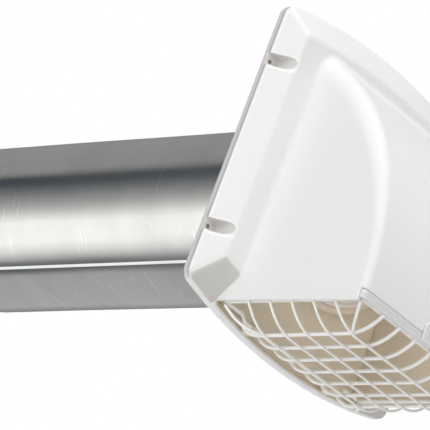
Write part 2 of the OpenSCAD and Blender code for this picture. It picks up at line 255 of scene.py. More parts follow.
def either(a, b, r=0.0):
    """Two forms joined, with a fillet of radius r between them."""
    return np.maximum(np.minimum(a, b), r) - np.hypot(np.maximum(r - a, 0), np.maximum(r - b, 0))


def without(a, b, r=0.0):
    """The first form less the second."""
    return both(a, -b, r)


def span(v, low, high):
    """A slab between two values."""
    return np.maximum(low - v, v - high)


def ramp(v, low, high):
    """0 below low, 1 above high and a smooth step between."""
    t = np.clip((v - low) / (high - low), 0, 1)
    return t * t * (3 - 2 * t)


def bowed(x, z, inset_side=0.0, inset_end=0.0, bow=FLANGE_BOW, corner=FLANGE_CORNER, slopes=(1, 1)):
    """The flange's outline: straight sides, bowed top and bottom, rounded corners."""
    w = FLANGE_HALF - inset_side
    h = FLANGE_SIDE - inset_end
    arc = (w * w + bow * bow) / (2 * bow)
    side = (np.abs(x) - w) / slopes[0]
    end = (np.hypot(x, np.abs(z) - (h + bow - arc)) - arc) / slopes[1]
    return both(side, end, corner)


def flange_form(x, d, z, wall=0.0):
    """The flange's outer form, or the recess in its back when wall is given."""
    rim_t = RIM_T - wall / 2
    rise = PANEL_RISE - wall
    t = np.clip((d - rim_t) / (rise - rim_t), *BEVEL_REACH)
    slopes = (math.hypot(1, BEVEL_SIDE / (rise - rim_t)),
              math.hypot(1, BEVEL_END_SLOPE * BEVEL_END / (rise - rim_t)))
    rim = bowed(x, z, wall, wall, corner=FLANGE_CORNER - wall / 2)
    bevel = bowed(x, z, wall + BEVEL_SIDE * t, wall + BEVEL_END * t,
                  FLANGE_BOW + (PANEL_BOW - FLANGE_BOW) * t, MITRE_R, slopes)
    return both(both(rim, bevel, RIM_EDGE), d - rise, PANEL_EDGE)


def cheek(z):
    """Half the cowl's width at a height."""
    share = (z - CHEEK_LOW[0]) / (CHEEK_TOP[0] - CHEEK_LOW[0])
    return CHEEK_LOW[1] + (CHEEK_TOP[1] - CHEEK_LOW[1]) * share


def cowl_form(x, d, z, inset=0.0):
    """The cowl's rounded form, with an edge between cheek and front that is softer higher up."""
    edge = COWL_EDGE[0] + (COWL_EDGE[1] - COWL_EDGE[0]) * ramp(z, *COWL_EDGE_Z) - COWL_EDGE_SHRINK * inset
    return both(np.abs(x) - cheek(z) + inset, np.hypot(d - COWL_DEPTH, z - COWL_Z) - COWL_R + inset, edge)


def mouth(d):
    """Height of the mouth's plane at a depth."""
    return MOUTH_Z - math.tan(MOUTH_TILT) * (d - MOUTH_DEPTH)


def above_screw(z):
    """Height above the nearer of the upper and lower screw holes."""
    level = z - SCREW_RISE
    return level - np.sign(level) * SCREW_HALF_SPACING


def pocket_form(x, z, r):
    """A slot with a round end, out through the flange's side."""
    dx = np.abs(x) - POCKET_X
    dz = above_screw(z) - POCKET_RISE
    return np.where(dx < 0, np.hypot(dx, dz), np.abs(dz)) - r


def skirt_form(x, d, z):
    """The shallow tray that closes the hood below the mouth."""
    shell = both(both(bowed(x, z), span(d, 0, SKIRT_DEPTH), SOFT), np.abs(x) - CHEEK_LOW[1])
    shell = np.maximum(shell, z - MOUTH_Z - WALL)
    tray = both(bowed(x, z, WALL, WALL), np.maximum(np.abs(x) - CHEEK_LOW[1] + WALL, WALL - d), SOFT)
    return without(shell, tray, CRISP)


def hood_field(x, d, z):
    """The moulding: flange, cowl open at the bottom, skirt, and four pockets with their screw holes."""
    recess = without(flange_form(x, d, z, WALL), pocket_form(x, z, POCKET_R + BOSS_WALL), SOFT)
    shell = without(flange_form(x, d, z), recess, SHARP)
    cowl = both(cowl_form(x, d, z), mouth(d) - z, SOFT)
    fillet = ROOT_FILLET[0] + (ROOT_FILLET[1] - ROOT_FILLET[0]) * ramp(z, *ROOT_FILLET_Z)
    body = either(shell, cowl, fillet)
    body = without(body, cowl_form(x, d, z, WALL), SOFT)
    below = np.maximum(np.maximum(np.abs(x) - cheek(z), SKIRT_DEPTH - d), z - mouth(d))
    body = without(body, below, CRISP)
    notch = np.maximum(RAIL_BACK - RAIL_GAP - d, z - RAIL_TOP - RAIL_GAP)
    body = without(body, notch, FINE)
    body = either(body, skirt_form(x, d, z), SOFT)
    pocket = both(pocket_form(x, z, POCKET_R), POCKET_FLOOR - d, BLUNT)
    lip = np.interp(ramp(-above_screw(z), *LIP_BELOW) * ramp(d, *LIP_DEPTH), (0, 1), POCKET_LIP)
    body = without(body, pocket, lip)
    hole_r = np.interp(d, (0, POCKET_FLOOR), SCREW_HOLE_R)
    body = without(body, np.hypot(np.abs(x) - SCREW_X, above_screw(z)) - hole_r, SCREW_HOLE_EDGE)
    return both(body, -d, CRISP)


def hook_field(x, d, z):
    """One of the two hooks that hold the guard's rear wire, about its own middle."""
    round_part = np.hypot(d - REAR_DEPTH, z - REAR_Z) - HOOK_R
    arm = np.maximum(span(d, WALL / 2, REAR_DEPTH), span(z, REAR_Z - HOOK_R, REAR_Z))
    body = both(either(round_part, arm), np.abs(x) - HOOK_HALF_W, CRISP)
    body = without(body, np.hypot(d - REAR_DEPTH, z - REAR_Z) - LONG_R - WELD_GAP, FINE)
    across = (d - REAR_DEPTH) + (z - REAR_Z)
    along = (z - REAR_Z) - (d - REAR_DEPTH)
    slot = np.maximum(np.abs(along) / math.sqrt(2) - HOOK_SLOT / 2, -across / math.sqrt(2))
    return without(body, slot, SHARP)


def damper_frame_field(x, d, z):
    """The damper's frame: back plate, seat ring, collar and two ears with the pin's bore."""
    r = np.hypot(x, z)
    plate = both(cowl_form(x, d, z, WALL + PLATE_GAP), MOUTH_Z + WALL + PLATE_GAP - z, ROUND)
    plate = both(plate, span(d, 0, WALL), SHARP)
    ring = both(r - SEAT_R, span(d, WALL / 2, SEAT_DEPTH), ROUND)
    collar = both(r - COLLAR_R, span(d, -COLLAR_LEN, WALL), BLUNT)
    body = either(either(plate, ring, ROUND), collar)
    ear = np.hypot(d - HINGE_DEPTH, z - HINGE_Z) - EAR_R
    root = np.maximum(span(d, WALL / 2, HINGE_DEPTH), np.abs(z - HINGE_Z) - EAR_R)
    body = either(body, both(np.minimum(ear, root), span(np.abs(x), *EAR_X), CRISP), BLUNT)
    body = without(body, r - BORE_R, BLUNT)
    return without(body, np.hypot(d - HINGE_DEPTH, z - HINGE_Z) - PIN_R, HAIR)


def flap_field(x, d, z):
    """The damper's flap: a disc with a raised rim, and two knuckles on the pin."""
    r = np.hypot(x, z)
    disc = both(r - FLAP_R, span(d, FLAP_DEPTH, FLAP_DEPTH + FLAP_T), CRISP)
    ring = np.maximum(r - FLAP_R, FLAP_R - WALL - r)
    ring = both(ring, span(d, FLAP_DEPTH, FLAP_DEPTH + FLAP_RIM_T), CRISP)
    body = either(disc, ring, SOFT)
    arm = np.maximum(span(d, FLAP_DEPTH, FLAP_DEPTH + FLAP_T), span(z, HINGE_Z / 2, HINGE_Z))
    knuckle = np.hypot(d - HINGE_DEPTH, z - HINGE_Z) - KNUCKLE_R
    hinge = both(either(arm, knuckle, KNUCKLE_FILLET), span(np.abs(x), *KNUCKLE_X), CRISP)
    body = either(body, hinge, CRISP)
    return without(body, np.hypot(d - HINGE_DEPTH, z - HINGE_Z) - PIN_R - PIN_GAP, HAIR)


def rail_field(x, d, z):
    """The rail along the mouth's front edge, with its fine grooves, its ledge and its finger tab."""
    r = np.hypot(d - COWL_DEPTH, z - COWL_Z)
    outer = both(np.abs(x) - CHEEK_LOW[1], r - RAIL_OUT_R, RAIL_CORNER[0])
    inner = both(np.abs(x) - CHEEK_LOW[1] + RAIL_END_T, r - RAIL_OUT_R + RAIL_T, RAIL_CORNER[1])
    band = both(without(outer, inner), RAIL_BACK - d, SHARP)
    bar = both(band, span(z, RAIL_LOW, RAIL_TOP), RAIL_EDGE)
    for level in RAIL_LINES:
        line = np.hypot(outer, z - (RAIL_LOW + level * (RAIL_TOP - RAIL_LOW))) - RAIL_LINE_R
        bar = without(bar, line, HAIR)
    ledge = np.maximum(span(r, RAIL_OUT_R - RAIL_T - LEDGE_REACH, RAIL_OUT_R - RAIL_T + LEDGE_SINK),
                       span(z, LEDGE_LOW, LEDGE_LOW + LEDGE_T))
    ledge = both(ledge, np.abs(x) - LEDGE_HALF, SHARP)
    body = either(bar, ledge, SHARP)
    plan = both(np.abs(x) - TAB_HALF, z - TAB_TOP, TAB_CORNER)
    plan = np.maximum(plan, RAIL_LOW - z)
    arcs = np.hypot(x, z - TAB_TOP - GRIP_ABOVE)
    grip = GRIP * np.cos(2 * math.pi * arcs / GRIP_PITCH) * ramp(-plan, *GRIP_INSET)
    sheet = span(r, TAB_IN_R, TAB_IN_R + TAB_T - GRIP + grip)
    return either(body, both(both(plan, sheet, SOFT), TAB_BACK - d), SHARP)


# ---------------------------------------------------------------- meshes from fields

def gradient(field, p, step):
    """The field's slope at each point."""
    slope = np.empty_like(p)
    for axis in range(3):
        shift = np.zeros(3)
        shift[axis] = step
        slope[:, axis] = (field(*(p + shift).T) - field(*(p - shift).T)) / (2 * step)
    return slope


def sample(field, axes, cell):
    """The field on a grid, worked out only near its surface."""
    block = GRID_BLOCK
    counts = [len(a) for a in axes]
    middles = [a[0] + cell * (np.arange(0, n, block) + (block - 1) / 2) for a, n in zip(axes, counts)]
    grid = field(*np.meshgrid(*middles, indexing="ij"))
    reach = GRID_REACH * block * cell
    for axis, n in enumerate(counts):
        grid = np.take(np.repeat(grid, block, axis), np.arange(n), axis)
    near = np.nonzero(np.abs(grid) < reach)
    grid[near] = field(*(a[i] for a, i in zip(axes, near)))
    return grid


def surface_net(field, low, high, cell):
    """Points and quads of the field's zero surface: one point in each cell that it crosses."""
    before, after = GRID_MARGIN
    axes = [np.arange(lo - before * cell, hi + after * cell, cell) for lo, hi in zip(low, high)]
    grid = sample(field, axes, cell)
    inside = grid < 0
    shape = np.array(grid.shape)
    total = np.zeros((int(shape.prod()), 3), np.float32)
    hits = np.zeros(len(total), np.int32)
    strides = np.array([shape[1] * shape[2], shape[2], 1])
    quads = []
    for axis in range(3):
        first = np.take(inside, np.arange(shape[axis] - 1), axis)
        second = np.take(inside, np.arange(1, shape[axis]), axis)
        at = np.argwhere(first != second)
        at = at[(at > 0).all(1)]
        ahead = at.copy()
        ahead[:, axis] += 1
        start = grid[tuple(at.T)]
        end = grid[tuple(ahead.T)]
        point = at.astype(np.float32)
        point[:, axis] += start / (start - end)
        key = at @ strides
        u, v = strides[(axis + 1) % 3], strides[(axis + 2) % 3]
        ring = np.stack([key, key - u, key - u - v, key - v], 1)
        for cells in ring.T:
            for c in range(3):
                total[:, c] += np.bincount(cells, point[:, c], len(total))
            hits += np.bincount(cells, minlength=len(total)).astype(np.int32)
        rising = inside[tuple(at.T)]
        quads.append(np.where(rising[:, None], ring[:, ::-1], ring))
    used = np.nonzero(hits)[0]
    number = np.full(len(total), -1)
    number[used] = np.arange(len(used))
    origin = np.array([a[0] for a in axes])
    points = origin + cell * total[used] / hits[used, None]
    return points, number[np.concatenate(quads)]


def settle(field, p, cell):
    """Moves points onto the field's zero surface."""
    for _ in range(SETTLE_PASSES):
        slope = gradient(field, p, SETTLE_PROBE * cell)
        size = np.maximum((slope * slope).sum(1), LEAST_SLOPE)
        step = np.clip(field(*p.T) / size, -SETTLE_STEP * cell, SETTLE_STEP * cell)
        p = p - slope * step[:, None]
    return p


def to_world(p):
    """Points in (x, depth, z) millimetres as points of the frame, in metres."""
    return np.stack([p[:, 0], -p[:, 1], p[:, 2]], 1) * MM


def new_object(name, points, faces):
    """An object of a new mesh, in the scene."""
    mesh = bpy.data.meshes.new(name)
    mesh.from_pydata(points.tolist(), [], faces)
    obj = bpy.data.objects.new(name, mesh)
    bpy.context.scene.collection.objects.link(obj)
    return obj


def thinned(obj, keep):
    """Leaves a share of an object's faces."""
    full = obj.data
    obj.modifiers.new("thin", "DECIMATE").ratio = keep
    bpy.context.view_layer.update()
    obj.data = bpy.data.meshes.new_from_object(obj.evaluated_get(bpy.context.evaluated_depsgraph_get()))
    obj.modifiers.clear()
    bpy.data.meshes.remove(full)
    obj.data.name = obj.name


def field_piece(name, field, low, high, fineness):
    """A smooth mesh of a field between two corners, shaded with the field's own slope."""
    cell, keep = fineness
    p, quads = surface_net(field, low, high, cell)
    obj = new_object(name, to_world(settle(field, p, cell)), quads.tolist())
    obj.data.validate()
    if keep < 1:
        thinned(obj, keep)
    mesh = obj.data
    flip = (1, -1, 1)
    p = np.array([v.co for v in mesh.vertices]) / MM * flip
    slope = gradient(field, p, NORMAL_PROBE * cell) * flip
    slope /= np.maximum(np.linalg.norm(slope, axis=1), 1e-6)[:, None]
    mesh.shade_smooth()
    mesh.normals_split_custom_set_from_vertices(slope.tolist())
    return obj


# ---------------------------------------------------------------- wires

def basket_path(flat, r, start, end):
    """A wire's path as (along, up) points: bent up at both ends till a rim wire lies on it."""
    inset = r + LONG_R + WELD_GAP
    tip = math.asin(WIRE_TIP / BEND_R)
    turns = [math.acos((flat + BEND_R - up) / (BEND_R - inset)) for _, up in (start, end)]
    a = start[0] + (BEND_R - inset) * math.sin(turns[0])
    b = end[0] - (BEND_R - inset) * math.sin(turns[1])

    def bend(base, sign, angles):
        return [(base + sign * BEND_R * math.sin(t), flat + BEND_R * (1 - math.cos(t))) for t in angles]

    points = bend(a, -1, np.linspace(0, turns[0] + tip, BEND_POINTS)[::-1])
    points += [(a + (b - a) * s, flat) for s in np.linspace(0, 1, FLAT_POINTS)[1:-1]]
    points += bend(b, 1, np.linspace(0, turns[1] + tip, BEND_POINTS))
    return np.array(points)


def dropped(path):
    """A path of the guard with the basket's floor a little lower, more at the rear than at the front."""
    x, d, z = np.array(path, float).T
    low = np.clip((REAR_Z - z) / (REAR_Z - LONG_Z), 0, 1)
    return np.stack([x, d, z - low * np.interp(d, (REAR_DEPTH, FRONT_DEPTH), DROP)], 1)


def tube(name, path, radius):
    """A round wire with rounded ends along (x, depth, z) points; radius is one value or one a point."""
    p = to_world(dropped(path))
    r = np.broadcast_to(np.asarray(radius, float) * MM, len(p))
    along = np.gradient(p, axis=0)
    along /= np.linalg.norm(along, axis=1)[:, None]
    shares = np.linspace(TIP_SHARE, 1, TIP_RINGS + 1)[:-1]
    # each ring: the path's point, the end that it rounds (0 for none), and its share of the radius
    order = [(0, -1, t) for t in shares] + [(i, 0, 1) for i in range(len(p))]
    order += [(len(p) - 1, 1, t) for t in shares[::-1]]
    side = np.cross(along[0], ACROSS_WIRES)
    angle = np.arange(WIRE_SIDES) * 2 * math.pi / WIRE_SIDES
    rings = []
    for i, end, t in order:
        side = side - along[i] * (side @ along[i])
        side /= np.linalg.norm(side)
        up = np.cross(along[i], side)
        centre = p[i] + end * along[i] * r[i] * TIP_LENGTH * math.sqrt(1 - t * t)
        rings.append(centre + r[i] * t * (np.outer(np.cos(angle), side) + np.outer(np.sin(angle), up)))
    n = len(rings)
    k = np.arange(WIRE_SIDES)
    nxt = (k + 1) % WIRE_SIDES
    faces = []
    for i in range(n - 1):
        here, ahead = i * WIRE_SIDES, (i + 1) * WIRE_SIDES
        faces += np.stack([here + k, here + nxt, ahead + nxt, ahead + k], 1).tolist()
    faces += [k[::-1].tolist(), ((n - 1) * WIRE_SIDES + k).tolist()]
    obj = new_object(name, np.concatenate(rings), faces)
    obj.data.shade_smooth()
    return obj


def swollen(along, crossings, r):
    """A wire's radius along its path, thicker where the coating gathers at each crossing."""
    r = np.full(len(along), r)
    for c in crossings:
        r = r + SWELL * np.exp(-((along - c) / SWELL_W) ** 2)
    return r


def lift(x):
    """How far the cross wires' bends lift a long wire that lies on them at x."""
    inset = CROSS_R + LONG_R + WELD_GAP
    turn = math.acos((CROSS_Z + BEND_R - RIM_Z) / (BEND_R - inset))
    over = max(0.0, abs(x) - (RIM_X - (BEND_R - inset) * math.sin(turn)))
    return BEND_R - math.sqrt(BEND_R ** 2 - over ** 2)


def long_wire(name, x):
    """A wire from the rear rim to the front rim."""
    path = basket_path(LONG_Z + lift(x), LONG_R, (REAR_DEPTH, REAR_Z), (FRONT_DEPTH, RIM_Z))
    return tube(name, [(x, d, z) for d, z in path], swollen(path[:, 0], CROSS_DEPTH, LONG_R - LONG_THIN))


def cross_wire(name, depth):
    """A thinner wire from side rim to side rim, a little further back at its ends than at its floor."""
    path = basket_path(CROSS_Z, CROSS_R, (-RIM_X, RIM_Z), (RIM_X, RIM_Z))
    lean = np.interp(path[:, 1], (CROSS_Z, RIM_Z), CROSS_LEAN[::-1])
    points = [(x, depth + shift, z) for (x, z), shift in zip(path, lean)]
    return tube(name, points, swollen(path[:, 0], LONG_X, CROSS_R - CROSS_THIN))


def corner_wire(name, end, side):
    """A thin wire that curves up from the outermost crossing to a corner of the rim."""
    from_crossing = LONG_R + CROSS_R + WELD_GAP
    last = CROSS_DEPTH[0] if end < 0 else CROSS_DEPTH[-1]
    begin = np.array([LONG_X[-1] + from_crossing, last + end * from_crossing])
    corner = np.array([RIM_X, REAR_DEPTH - REAR_SET if end < 0 else FRONT_DEPTH])
    reach = np.linalg.norm(corner - begin)
    rise = RIM_Z - LONG_Z - from_crossing
    r = (reach ** 2 + rise ** 2) / (2 * rise)
    points = []
    for t in np.linspace(0, math.acos(1 - rise / r), CORNER_POINTS):
        x, depth = begin + (corner - begin) * r * math.sin(t) / reach
        points.append((side * x, depth, LONG_Z + r * (1 - math.cos(t))))
    return tube(name, points, CROSS_R)


def rear_rim_path():
    """The rear rim wire: straight in its middle, where it turns, with a jog up and back to each corner."""
    jog = LONG_X[-1] + LONG_R - JOG_IN
    end = RIM_X - 2 * LONG_R - WELD_GAP
    half = [(x, REAR_Z) for x in np.linspace(0, jog, STRAIGHT_POINTS)]
    bend = [(JOG_R * math.sin(t), JOG_R * (1 - math.cos(t))) for t in np.linspace(0, JOG_TURN, JOG_POINTS)]
    steep = (RIM_Z - REAR_Z - 2 * bend[-1][1]) / math.tan(JOG_TURN)
    top = jog + 2 * bend[-1][0] + steep
    half += [(jog + x, REAR_Z + z) for x, z in bend[1:]]
    half += [(top - x, RIM_Z - z) for x, z in bend[::-1]]
    half += [(x, RIM_Z) for x in np.linspace(top, end, END_POINTS)[1:]]
    whole = [(-x, z) for x, z in half[::-1]] + half[1:]
    return [(x, REAR_DEPTH - REAR_SET * (z - REAR_Z) / (RIM_Z - REAR_Z), z) for x, z in whole]


def side_rim_path(side):
    """A side rim wire, from the rear corner to the front one."""
    depths = np.linspace(REAR_DEPTH - REAR_SET, FRONT_DEPTH - LONG_R, RIM_POINTS)
    return [(side * RIM_X, d, RIM_Z) for d in depths]


def front_rim_path():
    """The front rim wire, between the side rims."""
    half = RIM_X - LONG_R - WELD_GAP
    return [(x, FRONT_DEPTH, RIM_Z) for x in np.linspace(-half, half, RIM_POINTS)]


def guard_wires():
    """Every wire of the bird guard. Its node has the piece's name after guard_."""
    sides = ((-1, "left"), (1, "right"))
    made = [long_wire(f"long_wire_{i + 1}", x) for i, x in enumerate(LONG_X)]
    made += [cross_wire(f"cross_wire_{i + 1}", depth) for i, depth in enumerate(CROSS_DEPTH)]
    for end, end_name in ((-1, "rear"), (1, "front")):
        made += [corner_wire(f"corner_wire_{end_name}_{name}", end, side) for side, name in sides]
    made.append(tube("rim_rear", rear_rim_path(), LONG_R))
    made += [tube(f"rim_{name}", side_rim_path(side), LONG_R) for side, name in sides]
    made.append(tube("rim_front", front_rim_path(), LONG_R))
    return made


# ---------------------------------------------------------------- tailpiece

def tailpiece():
    """Rolled sheet tube with a pressed lock seam along it and the slight unevenness of thin sheet."""
    around = TAIL_AROUND
    share = np.linspace(-1, 1, around, endpoint=False)
    from_seam = math.pi * (SEAM_DENSITY * share + (1 - SEAM_DENSITY) * share ** 3)
    angle = SEAM_ANGLE + from_seam
    past = from_seam * DUCT_R
    fold = -SEAM_STEP * ramp(past, -SEAM_W - SEAM_BACK, -SEAM_W) * np.clip(-past / SEAM_W, 0, 1)
    depth = np.linspace(0, -TAIL_LEN, TAIL_ROWS)
    rings = []
    for inset, row in ((0, depth), (TAIL_WALL, depth[::-1])):
        for d in row:
            wave = sum(size * np.sin(turns * angle + d / length + start)
                       for size, turns, length, start in WAVES)
            r = DUCT_R - DUCT_INSET + wave + fold * ramp(-d, *SEAM_FADE) - inset
            rings.append(np.stack([r * np.cos(angle), np.full(around, d), r * np.sin(angle)], 1))
    n = len(rings)
    k = np.arange(around)
    nxt = (k + 1) % around
    faces = []
    for i in range(n):
        here, ahead = i * around, (i + 1) % n * around
        faces += np.stack([here + k, ahead + k, ahead + nxt, here + nxt], 1).tolist()
    obj = new_object("tailpiece", to_world(np.concatenate(rings)), faces)
    obj.data.shade_smooth()
    obj.data.set_sharp_from_angle(angle=TAIL_SHARP)
    return obj


# ---------------------------------------------------------------- materials

# Painted shade: the rim's side faces greyer than the hood, with a darker line along them.
RIM_SHADE_GREY = (0.64, 0.61, 0.63)
RIM_LINE_GREY = (0.48, 0.46, 0.48)
# Painted highlight: a whiter band along the bevel's edge by the rim and on the pockets' lips.
EDGE_HIGHLIGHT_WHITE = (0.91, 0.91, 0.91)
# Painted shade: the screw pockets greyer than the hood.
POCKET_SHADE_GREY = (0.74, 0.725, 0.70)
# Painted shade: the bottom bevel greyer than the rest of the flange.
UNDER_SHADE_GREY = (0.64, 0.625, 0.59)
# Painted shade: the screw holes' walls brown.
HOLE_SHADE_BROWN = (0.45, 0.385, 0.35)
# Painted shade: the hood's inside, the hooks and the damper's seat darker and tan, for the dim warm light in
# the cowl.
PAINTED_INSIDE_SHADE = (0.77, 0.695, 0.58)
INSIDE_SHADE = 0.95
SHEET_PALE = (0.83, 0.83, 0.805)
SHEET_DARK = (0.73, 0.73, 0.71)
SHEET_CLOUD = (0.58, 0.58, 0.57)
SCRATCH_WHITE = (1.0, 1.0, 0.98)
SCRATCH_STRENGTH = 0.55
SHEET_GLOSS = (0.09, 0.15)
SHEET_DULLER = 0.09
DULL_WITHIN = 20.0
STEEL_PALE = (0.62, 0.62, 0.60)
STEEL_DARK = (0.5, 0.5, 0.5)
STEEL_GLOSS = (0.22, 0.38)
BUMP_DEPTH = 0.2
TEXTURE_MIDDLE = (0.3, 0.7)
MAP_KEYS = ("From Min", "From Max", "To Min", "To Max")

# Noise textures: scale per metre, detail, and a factor of the scale along each axis
PLASTIC_CLOUDS = (18.0, 3.0)
PLASTIC_GLOSS = (60.0,)
PLASTIC_GRAIN = 900.0
WIRE_GRAIN = 1500.0
SHEET_LINES = (55.0, 6.0, (1, 0.05, 1))
SHEET_CLOUDS = (40.0, 6.0, (0.4, 1, 0.4))
SHEET_RELIEF = (300.0, 3.0, (1, 0.04, 1))
SCRATCHES = (330.0, 2.0, (0.13, 1, 0.13))
SCRATCH_PATCHES = (24.0,)
STEEL_RINGS = (900.0, 2.0, (4, 1, 1))

# What is made of a texture: how far it changes a value, how strong it is, and where it sets in
GLOSS_RANGE = (-0.05, 0.06)
GRAIN_STRENGTH = 0.12
RELIEF_STRENGTH = 0.05
CLOUD_SHARE = (-0.1, 0.28)
SCRATCH_FROM = (0.6, 0.68)
PATCH_FROM = (0.5, 0.6)

# Where each of the hood's colours starts and where it is full, as distances past an edge. Only
# under_mitre is in shares of the bevel's width.
FADE = {"rim_side": (-0.25, -0.15), "rim_corner": (-4.5, -1.5), "rim_corner_height": (9.0, 10.0),
        "rim_corner_depth": (-0.1, -0.25), "rim_depth": (0.2, 0.0), "line_depth": (0.0, 0.4),
        "crest_side": (-0.8, -0.4), "crest_depth": (0.0, 0.2),
        "inside": (-0.7 * WALL, -0.8 * WALL), "tray": (-0.1 * WALL, -0.7 * WALL),
        "pocket": (0.25, 0.0), "pocket_depth": (-0.2, -0.1), "hole": (0.3, 0.0),
        "lip": (0.1, 0.3), "lip_end": (1.3, 0.9), "lip_depth": (0.0, 1.0),
        "low_lip": (0.1, 0.6), "low_lip_end": (3.0, 2.2), "low_lip_height": (-2.0, -3.0),
        "under_mitre": (0.0, 0.12), "under_cowl": (0.2, 0.5), "under_rim": (-0.1, 0.4),
        "under_panel": (0.0, -0.5)}


class Tree:
    """The nodes of a material or world, with a short call for each kind that is used here."""

    def __init__(self, owner):
        owner.use_nodes = True
        self.nodes, self.links = owner.node_tree.nodes, owner.node_tree.links

    def put(self, socket, value):
        """Links a value to a socket, or writes a number or a colour into it."""
        if isinstance(value, bpy.types.NodeSocket):
            self.links.new(value, socket)
        elif isinstance(value, tuple):
            socket.default_value = (*value, 1)
        else:
            socket.default_value = value

    def sums(self, operation, *values):
        """One sum of sockets and numbers."""
        node = self.nodes.new("ShaderNodeMath")
        node.operation = operation
        for socket, value in zip(node.inputs, values):
            self.put(socket, value)
        return node.outputs[0]

    def product(self, *values):
        """Several values multiplied."""
        result = values[0]
        for value in values[1:]:
            result = self.sums("MULTIPLY", result, value)
        return result

    def distance(self, a, b):
        """Length of a vector with two parts."""
        return self.sums("SQRT", self.sums("MULTIPLY_ADD", a, a, self.sums("MULTIPLY", b, b)))

    def mapped(self, value, ends, smooth):
        """A value moved from one range to another, and kept inside it."""
        node = self.nodes.new("ShaderNodeMapRange")
        node.interpolation_type = "SMOOTHSTEP" if smooth else "LINEAR"
        for key, number in zip(MAP_KEYS, ends):
            node.inputs[key].default_value = number
        self.put(node.inputs["Value"], value)
        return node.outputs["Result"]

    def step(self, value, low, high):
        """0 where a value is under low, 1 where it is over high; turned round if high is under low."""
        return self.mapped(value, (low, high, 0, 1) if low < high else (high, low, 1, 0), True)

    def fade(self, place, value, edge=0.0):
        """How much of a place's colour there is, as FADE says, where a value goes past an edge."""
        start, full = FADE[place]
        return self.step(value, edge + start, edge + full)

    def spread(self, value, low, high):
        """A texture's middle range spread between two values."""
        return self.mapped(value, (*TEXTURE_MIDDLE, low, high), False)

    def between(self, factor, a, b):
        """A colour between two others."""
        mix = self.nodes.new("ShaderNodeMix")
        mix.data_type = "RGBA"
        for key, value in (("A", a), ("B", b), ("Factor", factor)):
            self.put(mix.inputs[key], value)
        return mix.outputs["Result"]

    def place(self, kind="Object"):
        """Where the shaded point is, by default in the object's own frame."""
        return self.nodes.new("ShaderNodeTexCoord").outputs[kind]

    def axes(self, vector):
        """The x, y and z of a vector."""
        parts = self.nodes.new("ShaderNodeSeparateXYZ")
        self.put(parts.inputs[0], vector)
        return [parts.outputs[axis] for axis in "XYZ"]

    def noise(self, scale, detail=2.0, along_axes=(1, 1, 1)):
        """A noise texture in object space."""
        mapping = self.nodes.new("ShaderNodeMapping")
        mapping.inputs["Scale"].default_value = along_axes
        self.put(mapping.inputs["Vector"], self.place())
        texture = self.nodes.new("ShaderNodeTexNoise")
        texture.inputs["Scale"].default_value = scale
        texture.inputs["Detail"].default_value = detail
        self.put(texture.inputs["Vector"], mapping.outputs["Vector"])
        return texture.outputs["Fac"]

    def bump(self, height, strength, shader):
        """A fine relief on a shader, of the height that a texture gives."""
        node = self.nodes.new("ShaderNodeBump")
        node.inputs["Strength"].default_value = strength
        node.inputs["Distance"].default_value = BUMP_DEPTH * MM
        self.put(node.inputs["Height"], height)
        self.put(shader.inputs["Normal"], node.outputs["Normal"])


def new_material(name):
    """A material with its tree and its main shader."""
    material = bpy.data.materials.new(name)
    tree = Tree(material)
    return material, tree, tree.nodes["Principled BSDF"]


def plastic(name, pale, shade, roughness, grain_scale=PLASTIC_GRAIN, places=None):
    """Moulded plastic: a fine grain, faint cloudiness and uneven gloss."""
    material, tree, shader = new_material(name)
    colour = tree.between(tree.noise(*PLASTIC_CLOUDS), pale, shade)
    if places:
        colour = places(tree, colour)
    tree.put(shader.inputs["Base Color"], colour)
    gloss = tree.spread(tree.noise(*PLASTIC_GLOSS), *(roughness + change for change in GLOSS_RANGE))
    tree.put(shader.inputs["Roughness"], gloss)
    tree.bump(tree.noise(grain_scale), GRAIN_STRENGTH, shader)
    return material


def rim_mask(tree, beside, d, z):
    """1 on the rim's side faces and round its corners, where a grey painted shade goes."""
    side = tree.fade("rim_side", beside, FLANGE_HALF)
    corner = tree.product(tree.fade("rim_corner", beside, FLANGE_HALF),
                          tree.fade("rim_corner_height", tree.sums("ABSOLUTE", z), SCREW_HALF_SPACING),
                          tree.fade("rim_corner_depth", d, RIM_T))
    return tree.product(tree.sums("MAXIMUM", side, corner), tree.fade("rim_depth", d, RIM_LINE[1]))


def past_cheek(tree, beside, z):
    """Distance out from the cowl's cheek, as cheek() has it."""
    slope = (CHEEK_TOP[1] - CHEEK_LOW[1]) / (CHEEK_TOP[0] - CHEEK_LOW[0])
    return tree.sums("SUBTRACT", tree.sums("MULTIPLY_ADD", z, -slope, beside),
                     CHEEK_LOW[1] - slope * CHEEK_LOW[0])


def inside_mask(tree, x, d, z, past):
    """1 inside the cowl's form, as cowl_form() has it, and in the tray below the mouth, where the inside's
    tan painted shade goes.
    """
    edge = tree.sums("MULTIPLY_ADD", tree.step(z, *COWL_EDGE_Z), COWL_EDGE[1] - COWL_EDGE[0], COWL_EDGE[0])
    front = tree.distance(tree.sums("SUBTRACT", d, COWL_DEPTH), tree.sums("SUBTRACT", z, COWL_Z))
    front = tree.sums("SUBTRACT", front, COWL_R)
    within = tree.distance(*(tree.sums("MAXIMUM", tree.sums("ADD", value, edge), 0)
                             for value in (past, front)))
    bottom_r = (FLANGE_HALF ** 2 + FLANGE_BOW ** 2) / (2 * FLANGE_BOW)
    bottom = tree.distance(x, tree.sums("SUBTRACT", z, bottom_r - FLANGE_TOP))
    return tree.product(tree.fade("inside", tree.sums("SUBTRACT", within, edge)),
                        tree.fade("tray", bottom, bottom_r))


